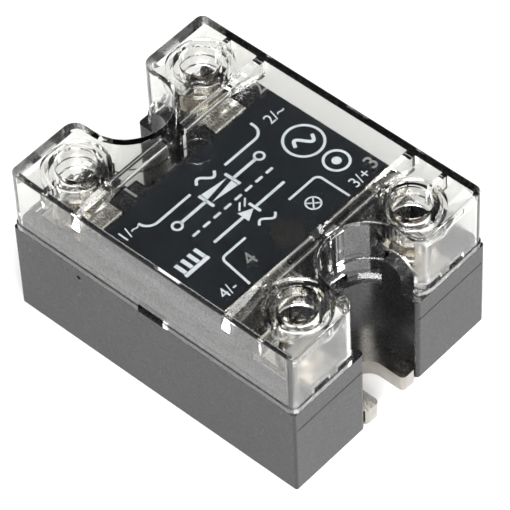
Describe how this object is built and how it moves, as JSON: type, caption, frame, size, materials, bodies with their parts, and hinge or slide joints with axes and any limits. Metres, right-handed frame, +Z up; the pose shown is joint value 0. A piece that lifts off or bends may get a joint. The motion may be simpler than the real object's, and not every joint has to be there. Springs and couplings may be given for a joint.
{
  "type": "solid state relay",
  "caption": "Panel-mount solid state relay block with notched ends, metal base, screw terminals and a clear lift-off cover.",
  "frame": {"origin": "centre of the mounting face, at the base's underside", "axes": "+Z up from the mounting face; +Y along the length towards the output terminals 1 and 2; +X across the width towards terminals 2 and 3"},
  "size_m": [0.0446, 0.0584, 0.031],
  "materials": {
    "nickel_plate": "satin plated",
    "housing_plastic": "fine matte moulding",
    "label_black": "smooth printed film",
    "lens_smoke": "smooth dark lens",
    "led_epoxy": "clear tinted",
    "ceramic": "fired alumina",
    "board_green": "solder mask",
    "chip_plastic": "moulded epoxy",
    "can_aluminium": "satin",
    "tinned_wire": "tinned",
    "silicon": "polished",
    "copper": "bright",
    "potting_resin": "cast epoxy",
    "clear_polycarbonate": "clear gloss",
    "strap_metal": "tin plated",
    "zinc_steel": "zinc plated",
    "screw_steel": "nickel plated"
  },
  "bodies": {
    "relay": {"baseplate": "nickel_plate", "housing": "housing_plastic", "label": "label_black", "led_lens": "lens_smoke", "status_led": "led_epoxy", "ceramic_substrate": "ceramic", "control_pcb": "board_green", "optocoupler": "chip_plastic", "bridge_rectifier": "chip_plastic", "capacitor": "can_aluminium", "chip_resistors": "chip_plastic", "gate_leads": "tinned_wire", "thyristor_die_a": "silicon", "thyristor_die_b": "silicon", "die_clip_a": "copper", "die_clip_b": "copper", "potting_compound": "potting_resin", "terminal_strap_1": "strap_metal", "captive_nut_1": "zinc_steel", "terminal_strap_2": "strap_metal", "captive_nut_2": "zinc_steel", "terminal_strap_3": "strap_metal", "captive_nut_3": "zinc_steel", "terminal_strap_4": "strap_metal", "captive_nut_4": "zinc_steel"},
    "cover": {"safety_cover": "clear_polycarbonate"},
    "clamp_1": {"clamp_plate_1": "zinc_steel"},
    "screw_1": {"terminal_screw_1": "screw_steel"},
    "clamp_2": {"clamp_plate_2": "zinc_steel"},
    "screw_2": {"terminal_screw_2": "screw_steel"},
    "clamp_3": {"clamp_plate_3": "zinc_steel"},
    "screw_3": {"terminal_screw_3": "screw_steel"},
    "clamp_4": {"clamp_plate_4": "zinc_steel"},
    "screw_4": {"terminal_screw_4": "screw_steel"}
  },
  "joints": [
    {"name": "cover_lift", "type": "slide", "parent": "relay", "child": "cover", "axis": [0, 0, 1], "range_m": [0, 0.025]},
    {"name": "clamp_1_slide", "type": "slide", "parent": "relay", "child": "clamp_1", "axis": [0, 0, 1], "range_m": [0, 0.0029]},
    {"name": "screw_1_turn", "type": "hinge", "parent": "clamp_1", "child": "screw_1", "pos_m": [-0.0142, 0.0222, 0.02], "axis": [0, 0, 1], "range_deg": [0, 1316]},
    {"name": "clamp_2_slide", "type": "slide", "parent": "relay", "child": "clamp_2", "axis": [0, 0, 1], "range_m": [0, 0.0029]},
    {"name": "screw_2_turn", "type": "hinge", "parent": "clamp_2", "child": "screw_2", "pos_m": [0.0142, 0.0222, 0.02], "axis": [0, 0, 1], "range_deg": [0, 1316]},
    {"name": "clamp_3_slide", "type": "slide", "parent": "relay", "child": "clamp_3", "axis": [0, 0, 1], "range_m": [0, 0.0029]},
    {"name": "screw_3_turn", "type": "hinge", "parent": "clamp_3", "child": "screw_3", "pos_m": [0.013, -0.0222, 0.02], "axis": [0, 0, 1], "range_deg": [0, 1316]},
    {"name": "clamp_4_slide", "type": "slide", "parent": "relay", "child": "clamp_4", "axis": [0, 0, 1], "range_m": [0, 0.0029]},
    {"name": "screw_4_turn", "type": "hinge", "parent": "clamp_4", "child": "screw_4", "pos_m": [-0.013, -0.0222, 0.02], "axis": [0, 0, 1], "range_deg": [0, 1316]}
  ],
  "couplings": [
    {"joint": "screw_1_turn", "follows": "clamp_1_slide", "rad_per_m": 7915.8},
    {"joint": "screw_2_turn", "follows": "clamp_2_slide", "rad_per_m": 7915.8},
    {"joint": "screw_3_turn", "follows": "clamp_3_slide", "rad_per_m": 7915.8},
    {"joint": "screw_4_turn", "follows": "clamp_4_slide", "rad_per_m": 7915.8}
  ]
}
